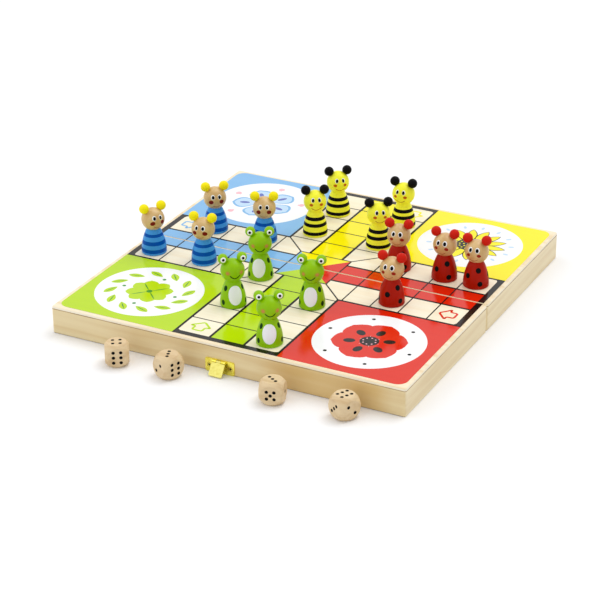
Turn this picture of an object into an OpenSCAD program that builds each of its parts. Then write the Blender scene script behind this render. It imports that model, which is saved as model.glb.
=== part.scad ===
// Folding ludo board box: two shallow wooden trays hinged rim to rim, printed with
// the playing field on their outer faces, with sixteen turned pawns and four dice.
// The board lies open with its rims on the table: X runs along the fold, Y to the
// back, Z up. The origin is the middle of the open board, on the plane of the rims.

/* [Trays] */
// Width of the board along the fold
board_w = 300; // [280:1:340]
// Depth of the open board, both trays together
board_d = 300; // [280:1:340]
// Height of the rails that frame each tray
rail_h = 20.9; // [16:0.1:26]
// Thickness of the rails
rail_t = 9; // [8.5:0.25:12]
// Thickness of the plywood panel glued on the rails
panel_t = 2.1; // [1.6:0.1:5]
// Gap between the two trays along the open seam
seam_gap = 0.6; // [0.4:0.1:1]
// Gap left between the rims when the box is folded shut
rim_gap = 0.1; // [0.05:0.05:0.3]
// Radius of the four upright corners of the open board
corner_r = 1.8; // [1.6:0.1:5]
// Radius of the upright corners at the ends of the seam
seam_corner_r = 2.2; // [1:0.1:4]
// Rounding of the outer top edges
top_r = 1.1; // [0.5:0.1:1.5]
// Rounding of the rim edges that stand on the table
rim_r = 0.8; // [0.5:0.1:1.5]
// Rounding of the two edges that meet along the seam
seam_r = 0.8; // [0.5:0.1:1.5]

/* [Printed field] */
// Thickness of the printed sheet
print_t = 0.2; // [0.1:0.05:0.4]
// Bare wood border round the print
print_border = 3.5; // [3:0.25:6]
// Radius of the print's outer corners
print_corner_r = 8; // [4:0.5:12]
// Width of one lane of cells
lane_w = 29; // [27:0.5:30]
// Side of the centre square
centre_w = 45.5; // [42:0.5:50]
// Cells along each arm
cell_count = 5; // [4:1:5]
// Width of the dark band that closes each arm
band_w = 5; // [3:0.5:8]
// Diameter of the white home circles
home_d = 86; // [70:1:88]

/* [Hinges] */
// Distance from the middle of the board to each hinge
hinge_x = 92; // [60:1:110]
// Length of a hinge along the fold
hinge_l = 22; // [18:0.5:30]
// Width of one hinge leaf, from the pin to its edge
leaf_w = 7; // [6.4:0.1:7.5]
// Thickness of a hinge leaf
leaf_t = 0.8; // [0.6:0.05:0.8]
// Diameter of the knuckles
knuckle_d = 2; // [2:0.1:2.6]
// Distance from the end of a hinge to its screws
leaf_screw_in = 4.2; // [3:0.1:5]
// Diameter of the hinge pins
pin_d = 1; // [0.8:0.05:1.1]

/* [Clasp] */
// How far the clasp sits to the right of the middle, or to the left if below zero
clasp_x = -1.4; // [-10:0.1:10]
// Width of the clasp plate
clasp_w = 24.5; // [24:0.5:32]
// Height of the clasp plate
clasp_h = 11.2; // [11:0.1:13]
// Thickness of the brass sheet
brass_t = 0.8; // [0.6:0.05:1]
// Width of the flap
flap_w = 11.2; // [9:0.1:13]
// Height of the flap's pin above the rim plane
pivot_z = 10.1; // [9.6:0.1:10.8]
// How far the flap leans out from the rail while its tip rests by the table
flap_lean = 36; // [35:0.5:38]
// Width of the catch plate
catch_w = 20; // [18:0.5:26]
// Height of the catch plate
catch_h = 9; // [8:0.5:11]
// Height of the lip on the catch plate
lip_h = 0.5; // [0.3:0.05:0.7]
// Distance from the ends of the clasp plate to its screws
clasp_screw_in = 3.2; // [2.6:0.1:3.6]
// Distance from the ends of the catch plate to its screws
catch_screw_in = 4; // [2.8:0.1:5]
// Radius of the corners of the two plates
plate_r = 1.4; // [0.8:0.1:2]
// Radius of the corners of the flap
flap_r = 1; // [0.5:0.1:1.5]

/* [Screws] */
// Diameter of a countersunk screw head
head_d = 3.4; // [3:0.1:3.8]
// Diameter of a screw shank
shank_d = 1.8; // [1.4:0.1:2]
// Length of a screw
screw_l = 7; // [5:0.5:8]
// Span of the cross cut into a head
cross_l = 2.1; // [1.6:0.1:2.4]
// Width of the arms of the cross
cross_w = 0.5; // [0.3:0.05:0.6]
// Depth of the cross
cross_depth = 0.55; // [0.3:0.05:0.6]

/* [Pawns] */
// Diameter of a pawn's foot
foot_d = 20.5; // [17:0.1:22]
// Diameter of a pawn's head
skull_d = 18.8; // [16:0.1:20]
// Height of the middle of the head
skull_z = 28.8; // [28:0.1:33]
// Height of the neck groove
neck_z = 20.8; // [19:0.2:22]
// Diameter of the neck
neck_d = 11.2; // [9:0.1:13]
// Radius of the long curve of the side
side_r = 44; // [40:1:70]
// Diameter of the two balls on a head
ball_d = 8; // [6:0.1:9]
// Angle between the upright and a ball on a wooden or a bee's head
ball_lean = 37; // [34:1:50]
// Angle between the upright and an eye ball of a frog
eye_lean = 36; // [34:1:50]
// How deep the balls are let into the head
ball_seat = 0.7; // [0.3:0.1:1.5]
// Radius of the cove between the body and the neck
cove_r = 2.4; // [1:0.1:3]
// Rounding of the foot's edge
foot_r = 0.8; // [0.3:0.1:1.5]
// How far the body's paint reaches up the neck from the groove
paint_up = 0.6; // [0:0.1:2]

/* [Dice] */
// Side of a die
die_w = 18.2; // [15:0.1:20]
// Diameter of the ball that rounds off the corners of a die
die_ball_d = 23.4; // [21:0.1:25]
// Diameter of a pip
pip_d = 2.6; // [2:0.1:3]
// Depth of a pip
pip_depth = 0.45; // [0.2:0.05:0.8]
// Distance of the outer pips from the middle lines of a face
pip_out = 2.8; // [2:0.1:3.4]
// Distance between the pips along a row of three on the six
pip_row = 4.2; // [3:0.1:4.8]

/* [Hidden] */
$fn = 48;
// Running clearance of pins and screws in their holes
fit = 0.05;
// Clearance between parts that pass each other
gap = 0.15;
// Clearance round a screw's head in its countersunk hole
seat = 0.1;
// How far two shapes of one piece reach into each other where they join
lap = 0.3;
// How far a cutting shape reaches past the face that it cuts
over = 1;
// Blunt end of a screw's point
point_d = 0.2;

half_w = board_w / 2;
half_d = board_d / 2;
tray_h = rail_h + panel_t;
print_z = tray_h + print_t;
// The pin of the fold lies this far below the rim plane, so that the rims close
fold_z = -rim_gap / 2;

// Playing field: the arms run from the centre square to a dark band at the edge
field_half = half_w - print_border;
field_half_d = half_d - print_border;
cell_end = field_half - band_w;
cell_l = (cell_end - centre_w / 2) / cell_count;
cell_end_d = field_half_d - band_w;
cell_l_d = (cell_end_d - centre_w / 2) / cell_count;
arm_half = 1.5 * lane_w;
home_x = (arm_half + field_half) / 2;
home_y = (arm_half + field_half_d) / 2;

// Hinge leaves are let into the rims, and three knuckles share the pin. A knuckle
// stands a little inside the edges of the plate that it is rolled from
knuckle_l = (hinge_l - 2 * gap - 2 * fit) / 3;
slot_l = knuckle_l + 2 * (gap - fit);
leaf_screw_x = hinge_l / 2 - leaf_screw_in;
leaf_screw_y = knuckle_d / 2 + gap + (leaf_w - knuckle_d / 2 - gap) / 2;

// The clasp's pin stands one knuckle radius and a clearance off its plate
plate_y = -half_d - brass_t;
pivot_y = plate_y - knuckle_d / 2 - gap / 2;
clasp_knuckle_l = (flap_w - 2 * gap) / 3;
clasp_screw_x = clasp_w / 2 - clasp_screw_in;
clasp_screw_z = clasp_h / 2;
// The plate stops just short of the table
plate_up = 0.2;
lip_z = 0.05;
lip_proud = 0.7;
toe_h = 0.45;
// The toe stops short of both sides of the flap
toe_in = 1.5;
toe_w = flap_w - 2 * toe_in;
flap_len = pivot_z + rim_gap + lip_z + lip_h + 2 * fit + toe_h;
catch_screw_x = catch_w / 2 - catch_screw_in;
catch_screw_z = lip_z + (lip_h + catch_h) / 2;

// One row per pawn: kind, number, arm it stands in, side of the arm, place along
// the arm counted in cells from its outer end, how far it stands off the middle of
// its lane, and the way its face is turned
PAWNS = [
    ["frog", 1, "front", -1, 2.88, 3.3, 41],
    ["frog", 2, "front", -1, 5.07, -0.9, 27],
    ["frog", 3, "front", 1, 3.91, 0.8, 18],
    ["frog", 4, "front", 1, 1.02, 0.5, 34],
    ["ladybird", 1, "right", 1, 3.87, -0.1, 12],
    ["ladybird", 2, "right", -1, 2.99, 0.1, 5],
    ["ladybird", 3, "right", 1, 2.2, 0, 2],
    ["ladybird", 4, "right", 1, 1.06, -0.5, 5],
    ["bee", 1, "back", -1, 3.95, 0.6, 34],
    ["bee", 2, "back", -1, 2.08, -0.4, 39],
    ["bee", 3, "back", 1, 3.95, 0.2, 34],
    ["bee", 4, "back", 1, 2.01, 1.2, 5],
    ["butterfly", 1, "left", -1, 0.99, -0.3, 58],
    ["butterfly", 2, "left", -1, 2.93, 0.6, 10],
    ["butterfly", 3, "left", 1, 2, 0.8, 38],
    ["butterfly", 4, "left", 1, 3.95, 0.6, 25],
];

// One row per die: place along the board's front edge, distance out from the edge,
// and how it has tumbled
DICE = [
    ["die_1", -78.5, 20.7, [180, 0, -57]],
    ["die_2", -33.8, 20.3, [0, 0, -26]],
    ["die_3", 53.7, 20.4, [0, 0, -164]],
    ["die_4", 110, 17.2, [0, -90, 61]],
];

TRAY_NODES = [
    "front_outer_rail", "front_hinge_rail", "front_left_rail", "front_right_rail",
    "front_panel", "front_print", "back_outer_rail", "back_hinge_rail",
    "back_left_rail", "back_right_rail", "back_panel", "back_print",
];
METAL_NODES = [
    "hinge_front_leaves", "hinge_back_leaves", "hinge_pins", "hinge_front_screws",
    "hinge_back_screws", "clasp_plate", "clasp_flap", "clasp_pin", "clasp_screws",
    "catch_plate", "catch_screws",
];

function peg_name(p) = str(p[0], "_", p[1], "_peg");
function balls_name(p) = str(p[0], "_", p[1], p[0] == "frog" ? "_eyes" : "_balls");

// Place of a pawn on the field, from its arm, its side lane and its cell
function along(cell) = cell_end - (cell - 0.5) * cell_l;
function along_d(cell) = cell_end_d - (cell - 0.5) * cell_l_d;
function across(p) = p[3] * lane_w + p[5];
function pawn_xy(p) =
    p[2] == "front" ? [across(p), -along_d(p[4])] :
    p[2] == "back" ? [across(p), along_d(p[4])] :
    p[2] == "right" ? [along(p[4]), across(p)] :
    [-along(p[4]), across(p)];

// Colours of the four teams
function team_colour(kind) =
    kind == "frog" ? "yellowgreen" :
    kind == "ladybird" ? "crimson" :
    kind == "bee" ? "gold" : "cornflowerblue";

// Trays

// Cross-section of a tray of width w, both edges rounded, standing on z = 0
module tray_section(w) {
    translate([-w / 2, rim_r]) square([w, tray_h - top_r - rim_r]);
    translate([-w / 2 + top_r, tray_h / 2]) square([w - 2 * top_r, tray_h / 2]);
    translate([-w / 2 + rim_r, 0]) square([w - 2 * rim_r, tray_h / 2]);
    for (s = [-1, 1]) {
        translate([s * (w / 2 - top_r), tray_h - top_r]) circle(top_r);
        translate([s * (w / 2 - rim_r), rim_r]) circle(rim_r);
    }
}

// The front tray as a solid block with its edges rounded, before it is hollowed
module tray_block() {
    intersection() {
        union() {
            translate([0, -seam_gap / 2 + over, 0]) rotate([90, 0, 0])
                linear_extrude(half_d - seam_gap / 2 + over - corner_r)
                    tray_section(board_w);
            translate([-half_w + corner_r, -half_d / 2 + over, 0])
                rotate([90, 0, 90])
                    linear_extrude(board_w - 2 * corner_r)
                        tray_section(half_d + 2 * over);
            for (s = [-1, 1])
                translate([s * (half_w - corner_r), -half_d + corner_r, 0])
                    rotate_extrude() intersection() {
                        translate([corner_r - half_w, 0]) tray_section(board_w);
                        square([corner_r, tray_h]);
                    }
        }
        seam_trim();
    }
}

// Rounds the seam edges and the two upright corners at the ends of the seam
module seam_trim() {
    reach = half_d + over;
    end_y = -seam_gap / 2;
    r = seam_corner_r;
    intersection() {
        translate([-half_w - over, 0, 0]) rotate([90, 0, 90])
            linear_extrude(board_w + 2 * over) {
                translate([-reach, 0]) square([reach + end_y - seam_r, tray_h]);
                translate([-reach, seam_r])
                    square([reach + end_y, tray_h - 2 * seam_r]);
                for (z = [seam_r, tray_h - seam_r])
                    translate([end_y - seam_r, z]) circle(seam_r);
            }
        linear_extrude(tray_h) {
            translate([-half_w - over, -reach])
                square([board_w + 2 * over, reach + end_y - r]);
            translate([-half_w + r, -reach])
                square([board_w - 2 * r, reach + end_y]);
            for (s = [-1, 1])
                translate([s * (half_w - r), end_y - r]) circle(r);
        }
    }
}

// Plan of one rail of the front tray, mitred at both ends
module rail_plan(side) {
    y0 = -half_d;
    y1 = -seam_gap / 2;
    x1 = half_w;
    t = rail_t;
    if (side == "outer")
        polygon([[-x1, y0], [x1, y0], [x1 - t, y0 + t], [-x1 + t, y0 + t]]);
    if (side == "hinge")
        polygon([[-x1, y1], [-x1 + t, y1 - t], [x1 - t, y1 - t], [x1, y1]]);
    if (side == "left")
        polygon([[-x1, y0], [-x1 + t, y0 + t], [-x1 + t, y1 - t], [-x1, y1]]);
    if (side == "right")
        polygon([[x1, y0], [x1, y1], [x1 - t, y1 - t], [x1 - t, y0 + t]]);
}

module rail(side) {
    color("burlywood") intersection() {
        tray_block();
        linear_extrude(rail_h) rail_plan(side);
    }
}

module panel() {
    color("wheat") intersection() {
        tray_block();
        translate([-half_w - over, -half_d - over, rail_h])
            cube([board_w + 2 * over, half_d + 2 * over, panel_t + over]);
    }
}

// The back tray is the front tray turned half round
module at_back() {
    rotate([0, 0, 180]) children();
}

module hinge_rail_front() {
    color("burlywood") difference() {
        rail("hinge");
        for (s = [-1, 1]) translate([s * hinge_x, 0, 0]) {
            leaf_mortise();
            for (i = [-1, 1]) translate([i * leaf_screw_x, -leaf_screw_y, leaf_t])
                screw_hole();
        }
    }
}

module outer_rail_front() {
    color("burlywood") difference() {
        rail("outer");
        at_clasp() for (s = [-1, 1])
            translate([s * clasp_screw_x, -half_d, clasp_screw_z])
                rotate([-90, 0, 0]) screw_hole();
    }
}

module outer_rail_back() {
    color("burlywood") difference() {
        at_back() rail("outer");
        at_clasp() for (s = [-1, 1])
            translate([s * catch_screw_x, half_d, catch_screw_z])
                rotate([90, 0, 0]) screw_hole();
    }
}

// Printed field

// Outline of the front half of the print, ending short of the rounded seam edge
module print_plan() {
    y1 = -seam_gap / 2 - seam_r;
    difference() {
        translate([-field_half, -field_half_d])
            square([2 * field_half, field_half_d + y1]);
        for (s = [-1, 1])
            translate([s * field_half, -field_half_d]) difference() {
                square(2 * print_corner_r, center = true);
                translate([-s * print_corner_r, print_corner_r])
                    circle(print_corner_r);
            }
    }
}

// One yard with its white home circle: sx is -1 on the left and 1 on the right
module yard(sx, colour) {
    color(colour) linear_extrude(print_t) difference() {
        intersection() {
            print_plan();
            translate([sx > 0 ? arm_half : -field_half, -field_half_d])
                square([field_half - arm_half, field_half_d - arm_half]);
        }
        translate([sx * home_x, -home_y]) circle(d = home_d);
    }
    color("white") linear_extrude(print_t)
        translate([sx * home_x, -home_y]) circle(d = home_d);
}

// The middle lane of the front arm, its quarter of the centre and the side cells
module front_arm(colour) {
    color(colour) linear_extrude(print_t) intersection() {
        print_plan();
        union() {
            translate([-lane_w / 2, -cell_end_d])
                square([lane_w, cell_end_d - centre_w / 2]);
            polygon([[0, 0], [-centre_w / 2, -centre_w / 2],
                [centre_w / 2, -centre_w / 2]]);
        }
    }
    color("antiquewhite") linear_extrude(print_t) for (s = [-1, 1])
        polygon([[s * lane_w / 2, -cell_end_d], [s * arm_half, -cell_end_d],
            [s * arm_half, -arm_half], [s * centre_w / 2, -centre_w / 2],
            [s * lane_w / 2, -centre_w / 2]]);
    color("dimgray") linear_extrude(print_t)
        translate([-arm_half, -field_half_d]) square([2 * arm_half, band_w]);
}

// The front half of a side arm: sx is -1 on the left and 1 on the right
module side_arm(sx, colour) {
    y1 = -seam_gap / 2 - seam_r;
    color(colour) linear_extrude(print_t) intersection() {
        print_plan();
        union() {
            translate([sx > 0 ? centre_w / 2 : -cell_end, -lane_w / 2])
                square([cell_end - centre_w / 2, lane_w / 2 + y1]);
            polygon([[0, 0], [sx * centre_w / 2, -centre_w / 2],
                [sx * centre_w / 2, 0]]);
        }
    }
    color("antiquewhite") linear_extrude(print_t)
        polygon([[sx * cell_end, -lane_w / 2], [sx * cell_end, -arm_half],
            [sx * arm_half, -arm_half], [sx * centre_w / 2, -centre_w / 2],
            [sx * centre_w / 2, -lane_w / 2]]);
    color("dimgray") linear_extrude(print_t)
        translate([sx > 0 ? cell_end : -field_half, -arm_half])
            square([band_w, arm_half + y1]);
}

module half_print(left, right, front) {
    translate([0, 0, tray_h]) {
        yard(-1, front);
        yard(1, right);
        front_arm(front);
        side_arm(-1, left);
        side_arm(1, right);
    }
}

// Hinges

// Room for a leaf and for the knuckles, cut into the rim of a hinge rail
module leaf_mortise() {
    l = hinge_l + 2 * fit;
    translate([-l / 2, -leaf_w - fit, -over]) cube([l, leaf_w + fit, over + leaf_t]);
    translate([-l / 2 - gap, 0, fold_z]) rotate([0, 90, 0])
        cylinder(d = knuckle_d + 2 * gap, h = l + 2 * gap);
}

// One leaf in the front rim: its knuckles take the middle or the two outer thirds
module leaf(outer_knuckles) {
    third = knuckle_l + gap;
    difference() {
        union() {
            difference() {
                translate([-hinge_l / 2, -leaf_w, 0]) cube([hinge_l, leaf_w, leaf_t]);
                for (i = outer_knuckles ? [0] : [-1, 1])
                    translate([i * third - slot_l / 2, -knuckle_d / 2 - gap, -over])
                        cube([slot_l, knuckle_d, leaf_t + 2 * over]);
            }
            for (i = outer_knuckles ? [-1, 1] : [0])
                translate([i * third - knuckle_l / 2, 0, fold_z])
                    rotate([0, 90, 0]) cylinder(d = knuckle_d, h = knuckle_l);
        }
        translate([-hinge_l / 2 - over, 0, fold_z]) rotate([0, 90, 0])
            cylinder(d = pin_d + 2 * fit, h = hinge_l + 2 * over);
        for (i = [-1, 1]) translate([i * leaf_screw_x, -leaf_screw_y, leaf_t])
            head_hole(leaf_t);
    }
}

module hinge_front_leaves() {
    color("goldenrod") for (s = [-1, 1])
        translate([s * hinge_x, 0, 0]) leaf(true);
}

module hinge_back_leaves() {
    color("goldenrod") at_back() for (s = [-1, 1])
        translate([s * hinge_x, 0, 0]) leaf(false);
}

module hinge_pins() {
    color("darkgoldenrod") for (s = [-1, 1])
        translate([s * hinge_x - hinge_l / 2, 0, fold_z]) rotate([0, 90, 0])
            cylinder(d = pin_d, h = hinge_l);
}

// Screws

// A countersunk wood screw whose shank runs up from z = 0, its head below it
module screw(head_t) {
    difference() {
        union() {
            translate([0, 0, -head_t + fit])
                cylinder(d1 = head_d, d2 = shank_d, h = head_t - fit);
            cylinder(d = shank_d, h = screw_l - shank_d);
            translate([0, 0, screw_l - shank_d])
                cylinder(d1 = shank_d, d2 = point_d, h = shank_d);
        }
        for (a = [0, 90]) rotate([0, 0, a])
            translate([-cross_l / 2, -cross_w / 2, -head_t - over])
                cube([cross_l, cross_w, over + cross_depth]);
    }
}

// The hole in the wood for a screw's shank and point
module screw_hole() {
    translate([0, 0, -over])
        cylinder(d = shank_d + 2 * fit, h = screw_l + over + fit);
}

// The countersunk hole for a screw's head through sheet of thickness t
module head_hole(t) {
    head_hole_d = head_d + 2 * seat;
    neck_hole_d = shank_d + 2 * seat;
    translate([0, 0, -t]) cylinder(d1 = head_hole_d, d2 = neck_hole_d, h = t);
    translate([0, 0, -over - t]) cylinder(d = head_hole_d, h = over);
    translate([0, 0, -fit]) cylinder(d = neck_hole_d, h = over);
}

module leaf_screws() {
    color("darkgoldenrod") for (s = [-1, 1]) for (i = [-1, 1])
        translate([s * hinge_x + i * leaf_screw_x, -leaf_screw_y, leaf_t])
            screw(leaf_t);
}

// Clasp

// The clasp and its catch stand a little off the middle, in line with each other
module at_clasp() {
    translate([clasp_x, 0, 0]) children();
}

// Outline of a sheet-brass plate with rounded corners, standing on z0
module plate_plan(w, h, r, z0) {
    translate([-w / 2 + r, z0]) square([w - 2 * r, h]);
    translate([-w / 2, z0 + r]) square([w, h - 2 * r]);
    for (s = [-1, 1]) for (z = [z0 + r, z0 + h - r])
        translate([s * (w / 2 - r), z]) circle(r);
}

// The sheet on the front rail, with two knuckles rolled out of its top edge
module clasp_plate() {
    color("gold") at_clasp() difference() {
        union() {
            translate([0, -half_d, 0]) rotate([90, 0, 0])
                linear_extrude(brass_t)
                    plate_plan(clasp_w, clasp_h - plate_up, plate_r, plate_up);
            for (s = [-1, 1])
                translate([s * (clasp_knuckle_l + gap) - clasp_knuckle_l / 2, 0, 0]) {
                    translate([0, pivot_y, pivot_z]) rotate([0, 90, 0])
                        cylinder(d = knuckle_d, h = clasp_knuckle_l);
                    translate([0, pivot_y, pivot_z + knuckle_d / 2 - brass_t])
                        cube([clasp_knuckle_l, plate_y - pivot_y, brass_t]);
                }
        }
        pin_bore();
        for (s = [-1, 1]) translate([s * clasp_screw_x, -half_d, clasp_screw_z])
            rotate([-90, 0, 0]) head_hole(brass_t);
    }
}

module pin_bore() {
    translate([-flap_w / 2 - over, pivot_y, pivot_z]) rotate([0, 90, 0])
        cylinder(d = pin_d + 2 * fit, h = flap_w + 2 * over);
}

// The flap hangs from its middle knuckle, and a toe at its end grips the catch lip
module clasp_flap() {
    shoulder = knuckle_d / 2 + gap;
    color("khaki") at_clasp() translate([0, pivot_y, pivot_z])
        rotate([-flap_lean, 0, 0]) difference() {
            union() {
                translate([0, brass_t / 2, -flap_len]) rotate([90, 0, 0])
                    linear_extrude(brass_t)
                        plate_plan(flap_w, flap_len - shoulder, flap_r, 0);
                translate([-clasp_knuckle_l / 2, -brass_t / 2, -shoulder - lap])
                    cube([clasp_knuckle_l, brass_t, shoulder + lap]);
                translate([-clasp_knuckle_l / 2, 0, 0]) rotate([0, 90, 0])
                    cylinder(d = knuckle_d, h = clasp_knuckle_l);
                translate([-toe_w / 2, 0, -flap_len])
                    cube([toe_w, brass_t / 2 + lip_proud, toe_h]);
            }
            translate([-flap_w / 2 - over, 0, 0]) rotate([0, 90, 0])
                cylinder(d = pin_d + 2 * fit, h = flap_w + 2 * over);
        }
}

module clasp_pin() {
    l = 3 * clasp_knuckle_l + 2 * gap;
    color("darkgoldenrod") at_clasp() translate([-l / 2, pivot_y, pivot_z])
        rotate([0, 90, 0]) cylinder(d = pin_d, h = l);
}

module clasp_screws() {
    color("darkgoldenrod") at_clasp() for (s = [-1, 1])
        translate([s * clasp_screw_x, -half_d, clasp_screw_z])
            rotate([-90, 0, 0]) screw(brass_t);
}

// The sheet on the back rail: its rounded lip lies under the flap's toe when shut
module catch_plate() {
    lip_r = lip_h / 2;
    color("gold") at_clasp() difference() {
        union() {
            translate([0, half_d + brass_t, 0]) rotate([90, 0, 0])
                linear_extrude(brass_t) plate_plan(catch_w, catch_h, plate_r, lip_z);
            translate([-toe_w / 2, half_d + brass_t / 2, lip_z])
                cube([toe_w, brass_t / 2 + lip_proud - lip_r, lip_h]);
            translate([-toe_w / 2, half_d + brass_t + lip_proud - lip_r, lip_z + lip_r])
                rotate([0, 90, 0]) cylinder(r = lip_r, h = toe_w);
        }
        for (s = [-1, 1]) translate([s * catch_screw_x, half_d, catch_screw_z])
            rotate([90, 0, 0]) head_hole(brass_t);
    }
}

module catch_screws() {
    color("darkgoldenrod") at_clasp() for (s = [-1, 1])
        translate([s * catch_screw_x, half_d, catch_screw_z])
            rotate([90, 0, 0]) screw(brass_t);
}

// Pawns

// Half outline of the turned peg: foot, long curved side, neck cove and round head
module peg_outline() {
    intersection() {
        translate([foot_d / 2 - side_r, foot_r]) circle(side_r, $fn = 128);
        union() {
            translate([0, foot_r]) square([foot_d / 2, neck_z - foot_r]);
            square([foot_d / 2 - foot_r, neck_z]);
            translate([foot_d / 2 - foot_r, foot_r]) circle(foot_r);
        }
        difference() {
            square([foot_d, neck_z]);
            translate([neck_d / 2 + cove_r, neck_z]) circle(cove_r);
        }
    }
    translate([0, neck_z]) square([neck_d / 2, skull_z - neck_z]);
    intersection() {
        translate([0, skull_z]) circle(d = skull_d);
        translate([0, skull_z - skull_d]) square([skull_d, 2 * skull_d]);
    }
}

function lean_of(kind) = kind == "frog" ? eye_lean : ball_lean;
function head_colour(kind) =
    kind == "ladybird" || kind == "butterfly" ? "burlywood" : team_colour(kind);
function ball_colour(kind) =
    kind == "bee" ? "black" :
    kind == "butterfly" ? "gold" : team_colour(kind);

// Carries a pawn to its cell, facing the front edge turned by its own angle
module on_field(p) {
    xy = pawn_xy(p);
    translate([xy[0], xy[1], print_z]) rotate([0, 0, p[6]]) children();
}

module pawn_peg(p) {
    color(team_colour(p[0])) on_field(p) intersection() {
        rotate_extrude() peg_outline();
        cylinder(d = 2 * foot_d, h = neck_z + paint_up);
    }
    color(head_colour(p[0])) on_field(p) difference() {
        rotate_extrude() peg_outline();
        cylinder(d = 2 * foot_d, h = neck_z + paint_up);
    }
}

// The two glued balls, each let a little into the head
module pawn_balls(p) {
    reach = skull_d / 2 + ball_d / 2 - ball_seat;
    color(ball_colour(p[0])) on_field(p) difference() {
        for (s = [-1, 1])
            translate([0, 0, skull_z]) rotate([0, s * lean_of(p[0]), 0])
                translate([0, 0, reach]) sphere(d = ball_d);
        translate([0, 0, skull_z]) sphere(d = skull_d);
    }
}

// Dice

// Places of the pips on a face, counted from its middle
function pips(n) =
    let (a = pip_out)
    n == 1 ? [[0, 0]] :
    n == 2 ? [[-a, -a], [a, a]] :
    n == 3 ? [[-a, -a], [0, 0], [a, a]] :
    n == 4 ? [[-a, -a], [a, a], [-a, a], [a, -a]] :
    n == 5 ? [[-a, -a], [a, a], [-a, a], [a, -a], [0, 0]] :
    [for (x = [-a, a]) for (y = [-pip_row, 0, pip_row]) [x, y]];

// Cuts the pips of one face; the face is the top until turned
module pip_cuts(n, turned) {
    ball_r = (pip_d * pip_d / 4 + pip_depth * pip_depth) / (2 * pip_depth);
    rotate(turned) for (q = pips(n))
        translate([q[0], q[1], die_w / 2 + ball_r - pip_depth]) sphere(r = ball_r);
}

// A die with 3 on top, 2 in front and 6 on the right
module die_blank() {
    difference() {
        intersection() {
            cube(die_w, center = true);
            sphere(d = die_ball_d);
        }
        pip_cuts(3, [0, 0, 90]);
        pip_cuts(4, [180, 0, 0]);
        pip_cuts(2, [90, 0, 0]);
        pip_cuts(5, [-90, 0, 0]);
        pip_cuts(6, [90, 0, 90]);
        pip_cuts(1, [90, 0, -90]);
    }
}

module die(d) {
    color("tan") translate([d[1], -half_d - d[2], die_w / 2])
        rotate(d[3]) die_blank();
}

outer_rail_front();  // front_outer_rail
hinge_rail_front();  // front_hinge_rail
rail("left");  // front_left_rail
rail("right");  // front_right_rail
panel();  // front_panel
half_print("skyblue", "tomato", "yellowgreen");  // front_print
outer_rail_back();  // back_outer_rail
at_back() hinge_rail_front();  // back_hinge_rail
at_back() rail("right");  // back_left_rail
at_back() rail("left");  // back_right_rail
at_back() panel();  // back_panel
at_back() half_print("tomato", "skyblue", "khaki");  // back_print
hinge_front_leaves();
hinge_back_leaves();
hinge_pins();
leaf_screws();  // hinge_front_screws
at_back() leaf_screws();  // hinge_back_screws
clasp_plate();
clasp_flap();
clasp_pin();
clasp_screws();
catch_plate();
catch_screws();
for (p = PAWNS) pawn_peg(p);
for (p = PAWNS) pawn_balls(p);
for (d = DICE) die(d);
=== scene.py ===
import math

import bmesh
import bpy
from mathutils import Matrix, Vector


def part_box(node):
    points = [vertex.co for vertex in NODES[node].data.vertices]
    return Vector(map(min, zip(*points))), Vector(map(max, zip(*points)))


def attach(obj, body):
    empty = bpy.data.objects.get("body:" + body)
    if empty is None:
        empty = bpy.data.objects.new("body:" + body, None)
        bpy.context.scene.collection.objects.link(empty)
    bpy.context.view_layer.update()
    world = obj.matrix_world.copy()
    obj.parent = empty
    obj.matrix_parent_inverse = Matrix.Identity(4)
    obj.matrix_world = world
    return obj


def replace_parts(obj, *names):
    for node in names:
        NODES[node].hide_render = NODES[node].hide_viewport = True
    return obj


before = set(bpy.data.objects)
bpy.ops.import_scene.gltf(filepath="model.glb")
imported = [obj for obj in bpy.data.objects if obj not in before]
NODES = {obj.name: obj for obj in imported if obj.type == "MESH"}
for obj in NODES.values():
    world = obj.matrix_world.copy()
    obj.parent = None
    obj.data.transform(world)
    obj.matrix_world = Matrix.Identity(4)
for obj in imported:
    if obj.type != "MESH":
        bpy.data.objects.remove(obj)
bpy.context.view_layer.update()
MM = 0.001

# The camera, fitted to the corners of the board in the photograph
CAM_AZ, CAM_EL, CAM_ROLL = 27.552, 26.393, -0.585
CAM_DIST, CAM_LENS = 1.6321, 122.80
CAM_TARGET = Vector((-0.00428, -0.01521, 0.0))

# Sizes in millimetres, as in the solids. Half the board, the top of the print, and the
# half widths of the print, of the cells inside their black border, and of the centre
BOARD_HALF = 150.0
PRINT_Z = 23.2
HALF, CELL_END, CENTRE = 146.5, 141.5, 22.75
# A cell's length, the half widths of an arm and of its middle lane, and of the seam
CELL, ARM, LANE, SEAM = 23.75, 43.5, 14.5, 0.86
PRINT_R, CELL_R = 8.0, 4.5
# The white home circles: how far out they lie, and their radius
HOME, HOME_R = 95.0, 43.0
# Widths of the printed lines
THICK, MEDIUM, THIN = 2.0, 1.2, 1.1
# Each tray ends a little short of the fold. The radii of its corners follow, and the
# glue line's lowest and highest points and its reach into and out of the wood
TRAY_EDGE = 0.3
CORNER_R, SEAM_CORNER_R = 1.8, 2.2
GLUE_LOW, GLUE_HIGH, GLUE_IN, GLUE_OUT = 20.5, 21.2, 0.4, 0.03
# How deep printed and painted shapes are sunk in what carries them
SUNK, PAINT_SUNK = 0.05, 0.1

# The pawns: heights are measured from the printed field
SKULL_Z, SKULL_R = 28.8, 9.4
NECK_Z, NECK_R, COVE_R = 20.8, 5.6, 2.4
FOOT_R, SIDE_R, FOOT_EDGE = 10.25, 44.0, 0.8
BALL_R, BALL_SEAT = 4.0, 0.7
LEAN = {"frog": 36.0, "ladybird": 37.0, "bee": 37.0, "butterfly": 37.0}

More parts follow.
